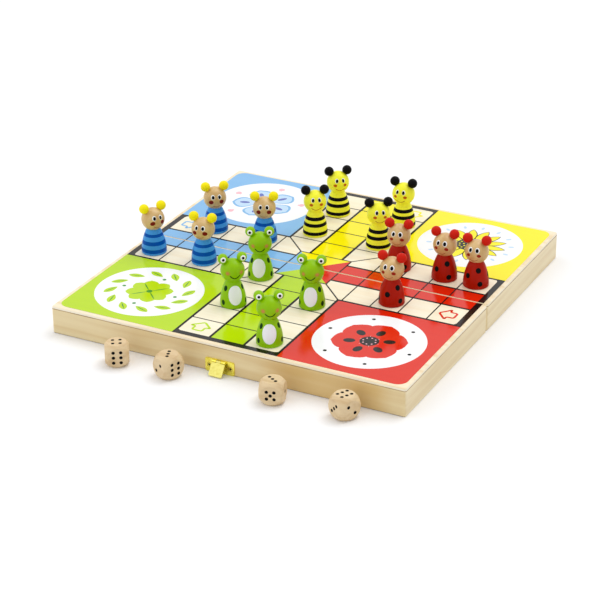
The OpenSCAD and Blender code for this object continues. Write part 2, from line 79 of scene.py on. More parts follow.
# Kind, number, arm, side of the arm, cell counted from its end, mm off the middle of
# the lane, and how far the face is turned from the front in degrees
PAWNS = [
    ("frog", 1, "front", -1, 2.88, 3.3, 41),
    ("frog", 2, "front", -1, 5.07, -0.9, 27),
    ("frog", 3, "front", 1, 3.91, 0.8, 18),
    ("frog", 4, "front", 1, 1.02, 0.5, 34),
    ("ladybird", 1, "right", 1, 3.87, -0.1, 12),
    ("ladybird", 2, "right", -1, 2.99, 0.1, 5),
    ("ladybird", 3, "right", 1, 2.2, 0, 2),
    ("ladybird", 4, "right", 1, 1.06, -0.5, 5),
    ("bee", 1, "back", -1, 3.95, 0.6, 34),
    ("bee", 2, "back", -1, 2.08, -0.4, 39),
    ("bee", 3, "back", 1, 3.95, 0.2, 34),
    ("bee", 4, "back", 1, 2.01, 1.2, 5),
    ("butterfly", 1, "left", -1, 0.99, -0.3, 58),
    ("butterfly", 2, "left", -1, 2.93, 0.6, 10),
    ("butterfly", 3, "left", 1, 2, 0.8, 38),
    ("butterfly", 4, "left", 1, 3.95, 0.6, 25),
]

# The clasp's screws and knuckles, and the painted shade in the slots of the screws
SCREW_R = 1.7
KNUCKLE_D, KNUCKLE_GAP = 2.0, 0.15
SLOT_LONG, SLOT_THIN = 1.1, 0.42

# The dice: width, and the radius, depth and places of the pips
DIE_W, PIP_R, PIP_DEPTH, PIP_OUT, PIP_ROW = 18.2, 1.3, 0.45, 2.8, 4.2
# Name, place along the front edge, distance in front of it, rotation
DICE = [
    ("die_1", -78.5, 20.7, (180, 0, -57)), ("die_2", -33.8, 20.3, (0, 0, -26)),
    ("die_3", 53.7, 20.4, (0, 0, -164)), ("die_4", 110, 17.2, (0, -90, 61)),
]


def srgb(r, g, b):
    """A colour given as it shows on screen, 0 to 255, as linear values."""
    def lin(c):
        c /= 255
        return c / 12.92 if c <= 0.04045 else ((c + 0.055) / 1.055) ** 2.4
    return (lin(r), lin(g), lin(b), 1.0)


# Materials


class Shader:
    """A material with a Principled shader and a few shorthands for its nodes."""

    def __init__(self, name, **sockets):
        self.material = bpy.data.materials.new(name)
        self.material.use_nodes = True
        tree = self.material.node_tree
        self.nodes, self.links = tree.nodes, tree.links
        self.nodes.clear()
        self.bsdf = self.nodes.new("ShaderNodeBsdfPrincipled")
        out = self.nodes.new("ShaderNodeOutputMaterial")
        self.link(self.bsdf.outputs[0], out.inputs[0])
        for key, value in sockets.items():
            self.bsdf.inputs[key.replace("_", " ")].default_value = value

    def link(self, a, b):
        self.links.new(a, b)

    def coords(self, scale, shift=(0, 0, 0)):
        place = self.nodes.new("ShaderNodeTexCoord")
        mapping = self.nodes.new("ShaderNodeMapping")
        mapping.inputs["Scale"].default_value = scale
        mapping.inputs["Location"].default_value = shift
        self.link(place.outputs["Object"], mapping.inputs["Vector"])
        return mapping.outputs["Vector"]

    def noise(self, scale, detail=4.0, rough=0.55, shift=(0, 0, 0), distortion=0.0):
        node = self.nodes.new("ShaderNodeTexNoise")
        node.inputs["Scale"].default_value = 1.0
        node.inputs["Detail"].default_value = detail
        node.inputs["Roughness"].default_value = rough
        node.inputs["Distortion"].default_value = distortion
        self.link(self.coords(scale, shift), node.inputs["Vector"])
        return node.outputs["Fac"]

    def ramp(self, value, low, high, a=0.0, b=1.0):
        node = self.nodes.new("ShaderNodeMapRange")
        node.interpolation_type = "SMOOTHSTEP"
        for i, v in enumerate((low, high, a, b)):
            node.inputs[i + 1].default_value = v
        self.link(value, node.inputs[0])
        return node.outputs[0]

    def mix(self, factor, a, b):
        node = self.nodes.new("ShaderNodeMix")
        node.data_type = "RGBA"
        for socket, value in ((node.inputs[0], factor), (node.inputs[6], a),
                              (node.inputs[7], b)):
            if isinstance(value, (tuple, list, float, int)):
                socket.default_value = value
            else:
                self.link(value, socket)
        return node.outputs[2]

    def math(self, op, a, b):
        node = self.nodes.new("ShaderNodeMath")
        node.operation = op
        for socket, value in ((node.inputs[0], a), (node.inputs[1], b)):
            if isinstance(value, (float, int)):
                socket.default_value = value
            else:
                self.link(value, socket)
        return node.outputs[0]

    def place(self):
        """The sockets of a point's x, y and z in metres."""
        node = self.nodes.new("ShaderNodeSeparateXYZ")
        self.link(self.coords((1, 1, 1)), node.inputs[0])
        return node.outputs

    def colour(self, value):
        self.link(value, self.bsdf.inputs["Base Color"])

    def bump(self, height, strength, distance=0.0002):
        node = self.nodes.new("ShaderNodeBump")
        node.inputs["Strength"].default_value = strength
        node.inputs["Distance"].default_value = distance
        self.link(height, node.inputs["Height"])
        self.link(node.outputs[0], self.bsdf.inputs["Normal"])


def along(axis, slow, fast):
    """A noise scale that runs slowly along one axis."""
    return tuple(slow if i == axis else fast for i in range(3))


# In metres: where the rail's warmer stretch starts and ends, and the lower edge that gets
# painted shade
WARM_FROM, WARM_TO, RIM_PAINTED_SHADE = (0.025, 0.05), (0.142, 0.125), (0.0007, 0.0003)


def rail_tones_and_painted_shade(s, base, warm):
    """A warmer stretch of the wood, and painted shade that darkens the edge standing on
    the table.
    """
    x, _, z = s.place()
    stretch = s.math("MULTIPLY", s.ramp(x, *WARM_FROM), s.ramp(x, *WARM_TO))
    base = s.mix(s.math("MULTIPLY", stretch, 0.6), base, warm)
    # Painted shade: the rail's lowest edge darkened to brown where it meets the table
    return s.mix(s.ramp(z, *RIM_PAINTED_SHADE, 0, 0.75), base, srgb(96, 66, 36))


def wood(name, light, dark, axis, rough=0.42, shift=(0, 0, 0), streak=0.5, coat=0.12,
         warm=None):
    """Close-grained pale wood: broad bands, fine fibres and short pores along axis."""
    s = Shader(name, Roughness=rough, Coat_Weight=coat, Coat_Roughness=0.25)
    bands = s.noise(along(axis, 5, 130), 3, 0.5, shift, 0.6)
    fibres = s.noise(along(axis, 26, 1500), 4, 0.6, shift)
    pores = s.noise(along(axis, 160, 4200), 2, 0.5, shift)
    base = s.mix(s.ramp(bands, 0.36, 0.68), light, dark)
    soft = s.mix(streak, light, dark)
    base = s.mix(s.ramp(fibres, 0.45, 0.72, 0, streak), base, soft)
    deep = tuple(c * 0.86 for c in dark[:3]) + (1,)
    base = s.mix(s.ramp(pores, 0.62, 0.78, 0, 0.35), base, deep)
    # The rails along X get a warmer stretch of wood and painted shade along their lower
    # edge
    if warm:
        base = rail_tones_and_painted_shade(s, base, warm)
    s.colour(base)
    s.bump(s.math("ADD", fibres, s.math("MULTIPLY", pores, 0.6)), 0.16)
    return s.material


# The height over which the panel's cut edge gives way to its face, in metres
PANEL_EDGE = (0.0222, 0.0228)


def plywood(name, light, dark):
    """The panel: face grain along the fold on top, and paler cut edges."""
    s = Shader(name, Roughness=0.4, Coat_Weight=0.15, Coat_Roughness=0.22)
    bands = s.noise((6, 110, 110), 3, 0.5, (3, 1, 2), 0.7)
    fibres = s.noise((30, 1400, 1400), 4, 0.6, (1, 5, 0))
    base = s.mix(s.ramp(bands, 0.36, 0.7), light, dark)
    base = s.mix(s.ramp(fibres, 0.45, 0.75, 0, 0.4), base, dark)
    s.colour(s.mix(s.ramp(s.place()[2], *PANEL_EDGE, 0.85, 0.0), base,
                   srgb(255, 248, 226)))
    s.bump(fibres, 0.12)
    return s.material


def ink(name, colour, deep, rough=0.13, specular=0.26, grain=0.12):
    """Printed colour under gloss lacquer, with the wood's grain faintly telegraphed."""
    s = Shader(name, Roughness=rough, Specular_IOR_Level=specular)
    bands = s.noise((9, 150, 150), 3, 0.5, (0.4, 0.1, 0), 0.5)
    fibres = s.noise((35, 1300, 1300), 3, 0.6)
    base = s.mix(s.ramp(bands, 0.3, 0.72, 0, grain * 2), colour, deep)
    s.colour(s.mix(s.ramp(fibres, 0.48, 0.75, 0, grain), base, deep))
    s.bump(s.noise((60, 300, 300), 2, 0.5), 0.05, 0.0001)
    return s.material


def paint(name, colour, deep, rough=0.28, specular=0.16, mottle=0.25):
    """Sprayed or dipped lacquer on turned wood: slightly uneven tone and surface."""
    s = Shader(name, Roughness=rough, Specular_IOR_Level=specular)
    patches = s.noise((110, 110, 70), 3, 0.5)
    fibres = s.noise((700, 700, 60), 3, 0.6)
    base = s.mix(s.ramp(patches, 0.32, 0.7, 0, mottle), colour, deep)
    s.colour(s.mix(s.ramp(fibres, 0.5, 0.8, 0, mottle * 0.5), base, deep))
    s.bump(fibres, 0.1, 0.0001)
    return s.material


def brass(name, colour, deep, rough):
    """Brass plating with a fine rolled grain and faint handling marks."""
    s = Shader(name, Metallic=1.0, Roughness=rough)
    rolled = s.noise((90, 1800, 1800), 3, 0.6)
    marks = s.noise((500, 500, 500), 4, 0.6)
    s.colour(s.mix(s.ramp(marks, 0.4, 0.7, 0, 0.6), colour, deep))
    s.link(s.ramp(marks, 0.3, 0.75, rough * 0.8, rough * 1.5),
           s.bsdf.inputs["Roughness"])
    s.bump(s.math("ADD", rolled, marks), 0.12, 0.0001)
    return s.material


# Painted shade: the rails along X, whose faces turn to the front and back, are toned
# darker than the rails along Y
rail_x_shaded = wood("rail_wood_x_shaded", srgb(240, 220, 172), srgb(228, 202, 148), 0, streak=0.3,
              warm=srgb(222, 184, 110))
rail_y = wood("rail_wood_y", srgb(244, 227, 186), srgb(229, 205, 157), 1, shift=(2, 0, 1),
              streak=0.35)
ply = plywood("ply_birch", srgb(252, 236, 205), srgb(238, 214, 170))
turned = wood("turned_wood", srgb(220, 185, 124), srgb(202, 162, 99), 2, 0.4,
              coat=0.2, streak=0.35)
dice_wood = wood("dice_wood", srgb(230, 204, 160), srgb(212, 180, 132), 0, 0.46,
                 streak=0.4)
brass_bright = brass("brass_bright", srgb(246, 234, 104), srgb(226, 206, 64), 0.24)
brass_flap = brass("brass_flap", srgb(224, 215, 122), srgb(210, 198, 94), 0.34)
brass_dark = brass("brass_dark", srgb(190, 156, 60), srgb(90, 66, 26), 0.3)

INKS = {
    "cream": ink("ink_cream", srgb(255, 246, 220), srgb(249, 231, 194), grain=0.26),
    "green": ink("ink_green", srgb(188, 222, 4), srgb(176, 214, 2)),
    "red": ink("ink_red", srgb(226, 38, 6), srgb(214, 28, 2), specular=0.32),
    "blue": ink("ink_blue", srgb(132, 188, 234), srgb(120, 178, 228)),
    "yellow": ink("ink_yellow", srgb(255, 241, 8), srgb(254, 234, 4)),
    "white": ink("ink_white", srgb(252, 252, 252), srgb(246, 246, 246), grain=0.05),
    "black": ink("ink_black", srgb(24, 19, 17), srgb(16, 13, 12), grain=0.05),
    "line": ink("ink_line", srgb(14, 10, 9), srgb(10, 8, 8), 0.3, 0.12, 0.05),
    "pink": ink("ink_pink", srgb(250, 190, 200), srgb(246, 176, 188)),
    "sky": ink("ink_sky", srgb(196, 224, 248), srgb(184, 214, 244)),
    "violet": ink("ink_violet", srgb(100, 112, 190), srgb(90, 100, 178)),
    "leaf": ink("ink_leaf", srgb(60, 150, 50), srgb(50, 138, 42)),
    "tan": ink("ink_tan", srgb(240, 200, 150), srgb(232, 188, 136)),
}
PAINTS = {
    "green": paint("paint_green", srgb(146, 198, 0), srgb(130, 184, 0), 0.3),
    "dark_green": paint("paint_dark_green", srgb(10, 62, 10), srgb(6, 46, 8), 0.4, 0.08),
    "red": paint("paint_red", srgb(178, 26, 2), srgb(146, 14, 0), 0.28, 0.1),
    "ball_red": paint("paint_ball_red", srgb(210, 34, 16), srgb(188, 22, 8), 0.42, 0.08),
    "yellow": paint("paint_yellow", srgb(255, 254, 64), srgb(255, 247, 46), 0.28, 0.12),
    "ball_yellow": paint("paint_ball_yellow", srgb(255, 238, 8), srgb(252, 226, 0), 0.42,
                         0.14),
    "black": paint("paint_black", srgb(12, 10, 11), srgb(8, 7, 8), 0.3, 0.06),
    "light_blue": paint("paint_light_blue", srgb(66, 154, 232), srgb(52, 138, 218), 0.26),
    "dark_blue": paint("paint_dark_blue", srgb(0, 84, 180), srgb(0, 70, 164), 0.28, 0.06),
    "white": paint("paint_white", srgb(252, 252, 250), srgb(242, 242, 244), 0.3),
    "belly": paint("paint_belly", srgb(249, 250, 252), srgb(240, 241, 245), 0.4, 0.1),
    "blush": paint("paint_blush", srgb(164, 174, 34), srgb(172, 166, 44), 0.4, 0.1),
    "pink": paint("paint_pink", srgb(196, 142, 70), srgb(204, 132, 80), 0.4, 0.1),
    "cheek": paint("paint_cheek", srgb(158, 38, 18), srgb(138, 28, 14), 0.4, 0.1),
    "maroon": paint("paint_maroon", srgb(124, 26, 12), srgb(106, 20, 10), 0.4, 0.1),
    "orange": paint("paint_orange", srgb(204, 104, 16), srgb(186, 84, 12), 0.4, 0.1),
    "smile": paint("paint_smile", srgb(150, 62, 30), srgb(136, 52, 24), 0.4, 0.1),
    "wood": turned,
}


# Meshes. Faces needn't be wound one way: done() turns them outward.


# A spot of paint: its rings, as shares of its size, and the depth of its underside
LENS_RINGS = (0.98, 0.95, 0.88, 0.7, 0.35)
LENS_UNDER = 0.12
# A painted line: its height, its depth, and how narrow it ends
STROKE_HIGH, STROKE_SUNK, STROKE_END = 0.07, 0.08, 0.35


class Builder:
    """Collects faces in millimetres with a material each, and makes one object."""

    def __init__(self, name, palette, place=Matrix.Identity(4)):
        self.name, self.palette, self.place = name, palette, place
        self.bm = bmesh.new()
        self.slots = []

    def slot(self, key):
        if key not in self.slots:
            self.slots.append(key)
        return self.slots.index(key)

    def vert(self, p):
        return self.bm.verts.new(self.place @ Vector(p) * MM)

    def face(self, verts, key, smooth=False):
        f = self.bm.faces.new(verts)
        f.material_index = self.slot(key)
        f.smooth = smooth

    def strip(self, a, b, key, smooth=True):
        """The faces between two closed rows with the same number of points."""
        for i in range(len(a)):
            j = (i + 1) % len(a)
            self.face([a[i], a[j], b[j], b[i]], key, smooth)

    def fan(self, ring, tip, key):
        """The faces between a closed row and a point."""
        for i in range(len(ring)):
            self.face([ring[i], ring[(i + 1) % len(ring)], tip], key, True)

    def prism(self, points, z0, z1, key):
        """A flat shape from z0 up to z1."""
        low = [self.vert((x, y, z0)) for x, y in points]
        high = [self.vert((x, y, z1)) for x, y in points]
        self.face(low, key)
        self.face(high, key)
        self.strip(low, high, key, False)

    def loop_ring(self, inner, outer, z0, z1, key):
        """A flat band between two outlines with the same number of points."""
        rows = [[self.vert((x, y, z)) for x, y in ring]
                for ring, z in ((inner, z0), (outer, z0), (outer, z1), (inner, z1))]
        for k in range(4):
            self.strip(rows[k], rows[(k + 1) % 4], key, False)

    def lens(self, surface, a, b, key, low=-0.03, high=0.08, tilt=0.0, n=28):
        """A domed spot of paint, a by b half-axes, on surface(u, v) -> point, normal."""
        grow = (1 - max(0.0, -low) / (high - low)) ** (-1 / 6)
        ct, st = math.cos(tilt), math.sin(tilt)

        def at(rho, k, lift):
            t = 2 * math.pi * k / n
            u, v = a * grow * rho * math.cos(t), b * grow * rho * math.sin(t)
            p, normal = surface(u * ct - v * st, u * st + v * ct)
            return self.vert(p + normal * lift)

        edge = [at(1, k, low) for k in range(n)]
        under = low - LENS_UNDER
        for top in (True, False):
            rings = [edge]
            for rho in LENS_RINGS:
                lift = low + (high - low) * (1 - rho ** 6) if top else under
                rings.append([at(rho, k, lift) for k in range(n)])
            for a_ring, b_ring in zip(rings, rings[1:]):
                self.strip(a_ring, b_ring, key)
            self.fan(rings[-1], at(0, 0, high if top else under), key)

    def stroke(self, path, width, key):
        """A line of paint along path, a list of points with their normals."""
        rings = []
        for i, (p, normal) in enumerate(path):
            ahead = path[min(i + 1, len(path) - 1)][0]
            back = path[max(i - 1, 0)][0]
            side = normal.cross(ahead - back).normalized() * (width / 2)
            if i in (0, len(path) - 1):
                side *= STROKE_END
            rings.append([self.vert(p + side * across + normal * lift)
                          for across, lift in (
                              (-1, -STROKE_SUNK), (-1, STROKE_HIGH / 2), (0, STROKE_HIGH),
                              (1, STROKE_HIGH / 2), (1, -STROKE_SUNK))])
        for a, b in zip(rings, rings[1:]):
            self.strip(a, b, key)
        self.face(rings[0], key)
        self.face(rings[-1], key)

    def done(self, body, smooth_angle=None):
        """Makes the object, with its faces outward, riding on the empty of a body."""
        bmesh.ops.recalc_face_normals(self.bm, faces=self.bm.faces)
        mesh = bpy.data.meshes.new(self.name)
        self.bm.to_mesh(mesh)
        self.bm.free()
        for key in self.slots:
            mesh.materials.append(self.palette[key])
        if smooth_angle is not None:
            mesh.set_sharp_from_angle(angle=math.radians(smooth_angle))
        obj = bpy.data.objects.new(self.name, mesh)
        bpy.context.scene.collection.objects.link(obj)
        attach(obj, body)
        return obj


def polar(cx, cy, r, angle):
    """The point at a distance and an angle in degrees from a centre."""
    return cx + r * math.cos(math.radians(angle)), cy + r * math.sin(math.radians(angle))


def arc(cx, cy, r, a0, a1, n):
    return [polar(cx, cy, r, a0 + (a1 - a0) * i / n) for i in range(n + 1)]


def ellipse(cx, cy, a, b, turn, n):
    c, s = math.cos(math.radians(turn)), math.sin(math.radians(turn))
    out = []
    for i in range(n):
        t = 2 * math.pi * i / n
        u, v = a * math.cos(t), b * math.sin(t)
        out.append((cx + u * c - v * s, cy + u * s + v * c))
    return out


def disc(cx, cy, r, n=48):
    return ellipse(cx, cy, r, r, 0, n)


def grown(points, d):
    """A closed outline moved outward by d, corners mitred."""
    n, out = len(points), []
    for i in range(n):
        p = Vector(points[i])
        e0 = (p - Vector(points[i - 1])).normalized()
        e1 = (Vector(points[(i + 1) % n]) - p).normalized()
        n0, n1 = Vector((e0.y, -e0.x)), Vector((e1.y, -e1.x))
        m = (n0 + n1).normalized()
        out.append(tuple(p + m * (d / max(0.35, m.dot(n0)))))
    return out


def petal(cx, cy, length, width, turn, base=0.0, point=1.0, n=14):
    """A petal or leaf from its root, turned anticlockwise from +X, in degrees."""
    c, s = math.cos(math.radians(turn)), math.sin(math.radians(turn))
    side = []
    for i in range(n + 1):
        t = i / n
        w = width / 2 * math.sin(math.pi * t ** point) ** 0.75
        side.append((base + length * t, w))
    outline = side[1:-1][::-1]
    outline = [(side[-1][0], 0)] + outline + [(side[0][0], 0)]
    outline += [(x, -y) for x, y in side[1:-1]]
    return [(cx + x * c - y * s, cy + x * s + y * c) for x, y in outline]


# Printed field


# Heights of the printed layers over the cream ground
FILL, OVER1, LINE1, LINE2, LINE3 = 0.02, 0.035, 0.05, 0.06, 0.07
ARROW = [(0, 7.2), (-8.4, -0.4), (-4.2, -0.4), (-4.2, -6.4), (4.2, -6.4), (4.2, -0.4),
         (8.4, -0.4)]
ARROW_CUT, ARROW_BAND = 1.9, 0.9


def fill(b, points, key, level=FILL):
    b.prism(points, PRINT_Z - SUNK, PRINT_Z + level, key)


def bar(b, x0, y0, x1, y1, width, level, key="line"):
    """A straight printed line of some width from one point to another."""
    d = (Vector((x1, y1)) - Vector((x0, y0))).normalized() * (width / 2)
    px, py = -d.y, d.x
    pts = [(x0 - px, y0 - py), (x1 - px, y1 - py), (x1 + px, y1 + py), (x0 + px, y0 + py)]
    fill(b, pts, key, level)


def eased(points, cut, n=5):
    """A closed outline with its corners rounded, each cut back by some length."""
    out = []
    for i, p in enumerate(points):
        p = Vector(p)
        a = p + (Vector(points[i - 1]) - p).normalized() * cut
        c = p + (Vector(points[(i + 1) % len(points)]) - p).normalized() * cut
        for k in range(n + 1):
            t = k / n
            out.append(tuple(a * (1 - t) ** 2 + p * (2 * t * (1 - t)) + c * t * t))
    return out


def arrow(b, cx, cy, turn, key):
    c, s = math.cos(math.radians(turn)), math.sin(math.radians(turn))
    pts = eased([(cx + x * c - y * s, cy + x * s + y * c) for x, y in ARROW], ARROW_CUT)
    b.loop_ring(grown(pts, -ARROW_BAND), grown(pts, ARROW_BAND), PRINT_Z - SUNK,
                PRINT_Z + FILL, key)


def motif_leaves(b, cx, cy):
    """Green yard: a wreath of leaves round a four-part clover."""
    for k in range(12):
        a = 30 * k + 8
        x, y = polar(cx, cy, 27, a)
        fill(b, petal(x, y, 14, 6.4, a + 62, 0, 1.15), "green", LINE1)
        fill(b, petal(x, y, 12, 0.9, a + 62, 1), "leaf", LINE2)
    for k in range(4):
        a = 90 * k + 45
        for da in (-20, 20):
            fill(b, petal(cx, cy, 19, 12.5, a + da, 0, 1.7), "green",
                 LINE1 + 0.01 * (da > 0))
        fill(b, petal(cx, cy, 13, 1.1, a, 2), "leaf", LINE3 + 0.01)
        fill(b, disc(*polar(cx, cy, 23, a + 45), 1.5, 20), "leaf", LINE1)
    fill(b, disc(cx, cy, 2.4, 24), "leaf", LINE3 + 0.03)


def motif_poppy(b, cx, cy):
    """Red yard: a broad red flower with black blotches and a ring of dots."""
    for k in range(6):
        a = 60 * k + 20
        fill(b, petal(cx, cy, 29, 25, a, 0, 1.9), "red", LINE1 + 0.01 * (k % 2))
    for k in range(6):
        a = 60 * k + 20
        fill(b, ellipse(*polar(cx, cy, 15, a), 4.6, 3.2, a, 28), "black", LINE3)
        fill(b, disc(*polar(cx, cy, 36, a + 30), 1.5, 20), "black", LINE1)
    fill(b, disc(cx, cy, 7.4), "black", LINE3 + 0.01)
    for k in range(8):
        fill(b, disc(*polar(cx, cy, 5, 45 * k), 0.7, 14), "pink", LINE3 + 0.02)


def motif_sunflower(b, cx, cy):
    """Yellow yard: a sunflower with outlined petals and drops between their tips."""
    step = 360 / 14
    for k in range(14):
        a = step * k + 4
        fill(b, petal(cx, cy, 22.6, 8.6, a, 7.4, 1.0), "black", LINE1)
        fill(b, petal(cx, cy, 20.8, 6.9, a, 8.4, 1.0), "yellow", LINE2)
        between = a + step / 2
        fill(b, ellipse(*polar(cx, cy, 33.5, between), 2.4, 1.3, between, 20), "sky",
             LINE1)
    fill(b, disc(cx, cy, 11.4), "black", LINE3)
    for ring, count in ((8.6, 14), (5.2, 8), (0, 1)):
        for k in range(count):
            a = 360 / count * k + ring
            fill(b, disc(*polar(cx, cy, ring, a), 0.8, 14), "yellow", LINE3 + 0.01)


def motif_starflower(b, cx, cy):
    """Blue yard: a five-petalled flower outlined in blue with small pink hearts."""
    for k in range(5):
        a = 72 * k + 18
        fill(b, petal(cx, cy, 28, 21, a, 0, 1.8), "blue", LINE1 + 0.004 * k)
        fill(b, petal(cx, cy, 25, 17.4, a, 1, 1.8), "sky", LINE3 + 0.004 * k)
        fill(b, ellipse(*polar(cx, cy, 17, a), 4.4, 1.9, a, 28), "violet", LINE3 + 0.03)
        x, y = polar(cx, cy, 31, a + 36)
        for da in (-22, 22):
            fill(b, petal(x, y, 6.6, 4.6, a + 36 + da, -3, 1.7), "pink",
                 LINE1 + 0.01 * (da > 0))
    fill(b, disc(cx, cy, 4.6), "tan", LINE3 + 0.04)


def half_field(name, body, left, right, own, yard_left, yard_right, motifs, turn):
    """The printed colours, lines and motifs of one half, drawn as the front half."""
    b = Builder(name, INKS, Matrix.Rotation(turn, 4, "Z"))
    yard = arc(-HALF + PRINT_R, -HALF + PRINT_R, PRINT_R, 180, 270, 12)
    yard += [(-ARM, -HALF), (-ARM, -ARM), (-HALF, -ARM)]
    mirrored = [(-x, y) for x, y in yard][::-1]
    fill(b, yard, yard_left)
    fill(b, mirrored, yard_right)
    for sx, motif in ((-1, motifs[0]), (1, motifs[1])):
        fill(b, disc(sx * HOME, -HOME, HOME_R, 96), "white", OVER1)
        motif(b, sx * HOME, -HOME)
    c, e = CENTRE, SEAM
    fill(b, [(-LANE, -CELL_END), (LANE, -CELL_END), (LANE, -c), (-LANE, -c)], own)
    fill(b, [(-c, -c), (c, -c), (e, -e), (-e, -e)], own)
    for sx, key in ((-1, left), (1, right)):
        fill(b, [(sx * CELL_END, -LANE), (sx * c, -LANE), (sx * c, -e),
                 (sx * CELL_END, -e)], key)
        fill(b, [(sx * c, -c), (sx * c, -e), (sx * e, -e)], key)
        fill(b, [(sx * HALF, -ARM), (sx * CELL_END, -ARM), (sx * CELL_END, -e),
                 (sx * HALF, -e)], "black", LINE3)
        for x, y in ((CELL_END, ARM), (ARM, CELL_END)):
            rounded = arc(x - CELL_R, -y + CELL_R, CELL_R, 0, -90, 10)
            fill(b, [(sx * x, -y)] + [(sx * px, py) for px, py in rounded], "black", LINE3)
        bar(b, sx * ARM, -HALF, sx * ARM, -ARM, THICK, LINE2)
        bar(b, sx * ARM, -ARM, sx * HALF, -ARM, THICK, LINE2)
        bar(b, sx * LANE, -CELL_END, sx * LANE, -c, THICK, LINE2)
        bar(b, sx * CELL_END, -LANE, sx * c, -LANE, THICK, LINE2)
        bar(b, sx * c, -c, sx * ARM, -ARM, MEDIUM, LINE1)
        bar(b, sx * LANE, -c, sx * (c + MEDIUM / 2), -c, MEDIUM, LINE3)
        bar(b, sx * c, -LANE, sx * c, -c - MEDIUM / 2, MEDIUM, LINE3 + 0.005)
        for k in range(1, 5):
            x = sx * (CELL_END - CELL * k)
            bar(b, x, -ARM, x, -e, THIN, LINE1)
        bar(b, sx * c, -LANE, sx * c, -e, THIN, LINE1)
    for k in range(1, 5):
        y = -CELL_END + CELL * k
        bar(b, -ARM, y, ARM, y, THIN, LINE1)
    bar(b, -LANE, -c, LANE, -c, THIN, LINE1)
    fill(b, [(-ARM, -HALF), (ARM, -HALF), (ARM, -CELL_END), (-ARM, -CELL_END)], "black",
         LINE3)
    y = -CELL_END + CELL / 2
    arrow(b, -2 * LANE, y, 0, own)
    arrow(b, -y, -2 * LANE, 90, right)
    b.done(body)


half_field("front_ink", "front_tray", "blue", "red", "green", "green", "red",
           (motif_leaves, motif_poppy), 0.0)
half_field("back_ink", "back_tray", "red", "blue", "yellow", "yellow", "blue",
           (motif_sunflower, motif_starflower), math.pi)


def glue_paint():
    s = Shader("glue_line", Roughness=0.6)
    s.colour(s.mix(s.ramp(s.noise((60, 60, 60)), 0.35, 0.65),
                   srgb(158, 126, 80), srgb(196, 164, 116)))
    return s.material


def glue_line(name, body, turn, palette):
    """The dark line between the panel and the rails, round one tray."""
    b = Builder(name, palette, Matrix.Rotation(turn, 4, "Z"))
    w, r, r2 = BOARD_HALF, CORNER_R, SEAM_CORNER_R
    pts = arc(-w + r, -w + r, r, 180, 270, 8) + arc(w - r, -w + r, r, 270, 360, 8)
    pts += arc(w - r2, -TRAY_EDGE - r2, r2, 0, 90, 6)
    pts += arc(-w + r2, -TRAY_EDGE - r2, r2, 90, 180, 6)
    b.loop_ring(grown(pts, -GLUE_IN), grown(pts, GLUE_OUT), GLUE_LOW, GLUE_HIGH, "glue")
    b.done(body)


GLUE = {"glue": glue_paint()}
glue_line("front_glue_line", "front_tray", 0.0, GLUE)
glue_line("back_glue_line", "back_tray", math.pi, GLUE)


# Pawns


def body_radius(z):
    """Half width of a peg's body and neck at height z."""
    if z < FOOT_EDGE:
        return FOOT_R - FOOT_EDGE + math.sqrt(max(0.0, FOOT_EDGE ** 2
                                                  - (FOOT_EDGE - z) ** 2))
    if z > NECK_Z:
        return NECK_R
    side = FOOT_R - SIDE_R + math.sqrt(SIDE_R ** 2 - (z - FOOT_EDGE) ** 2)
    if z > NECK_Z - COVE_R:
        cove = NECK_R + COVE_R - math.sqrt(max(0.0, COVE_R ** 2 - (z - NECK_Z) ** 2))
        side = min(side, cove)
    return side


# Where the head's ball meets the neck, and the paint of the body ends
HEAD_FROM = SKULL_Z - math.sqrt(SKULL_R ** 2 - NECK_R ** 2)
# The painted rings, from and to a height
RINGS = {
    "butterfly": [(1.9, 5.1), (8.5, 11.7), (15.1, 17.5)],
    "bee": [(1.9, 4.8), (8.9, 11.8), (14.2, 17.0)],
}
BASE = {"frog": ("green", "green"), "ladybird": ("red", "wood"),
        "bee": ("yellow", "yellow"), "butterfly": ("light_blue", "wood")}
RING_KEY = {"butterfly": "dark_blue", "bee": "black"}
BALL_KEY = {"frog": "green", "ladybird": "ball_red", "bee": "black",
            "butterfly": "ball_yellow"}
TURNS, HEAD_ROWS = 72, 30


def on_body(angle, z0):
    """A surface for paint on a peg's body, round a point at some angle and height."""
    def surface(u, v):
        z = z0 + v
        r = body_radius(z)
        slope = (body_radius(z + 0.05) - body_radius(z - 0.05)) / 0.1
        a = math.radians(angle) + u / r
        normal = Vector((math.sin(a), -math.cos(a), -slope)).normalized()
        return Vector((r * math.sin(a), -r * math.cos(a), z)), normal
    return surface


def direction(angle, rise):
    """The way from a ball's middle at some angle from the front and some rise."""
    a, e = math.radians(angle), math.radians(rise)
    return Vector((math.sin(a) * math.cos(e), -math.cos(a) * math.cos(e), math.sin(e)))


def on_ball(centre, radius, angle, rise):
    """A surface for paint on a ball, round a point at some angle and rise."""
    out = direction(angle, rise)
    side = Vector((math.cos(math.radians(angle)), math.sin(math.radians(angle)), 0))
    up = out.cross(side) * -1

    def surface(u, v):
        d = (out + side * (u / radius) + up * (v / radius)).normalized()
        return centre + d * radius, d
    return surface


HEAD = Vector((0, 0, SKULL_Z))


def smile(b, key, half, rise, dip, width):
    """A smile on the head: half its angle, the height of its ends and its dip."""
    path = []
    for i in range(13):
        t = i / 6 - 1
        d = direction(t * half, rise - dip * (1 - t * t))
        path.append((HEAD + d * SKULL_R, d))
    b.stroke(path, width, key)


def across(gap, rise):
    """How far round the head a mark lies, gap apart from its twin, in degrees."""
    return math.degrees(math.asin(gap / 2 / (SKULL_R * math.cos(math.radians(rise)))))


# How far a pupil is turned toward the nose and down, in degrees, and how it is raised
PUPIL_IN, PUPIL_DOWN, PUPIL_LOW, PUPIL_HIGH = 1.5, 1, 0.06, 0.15


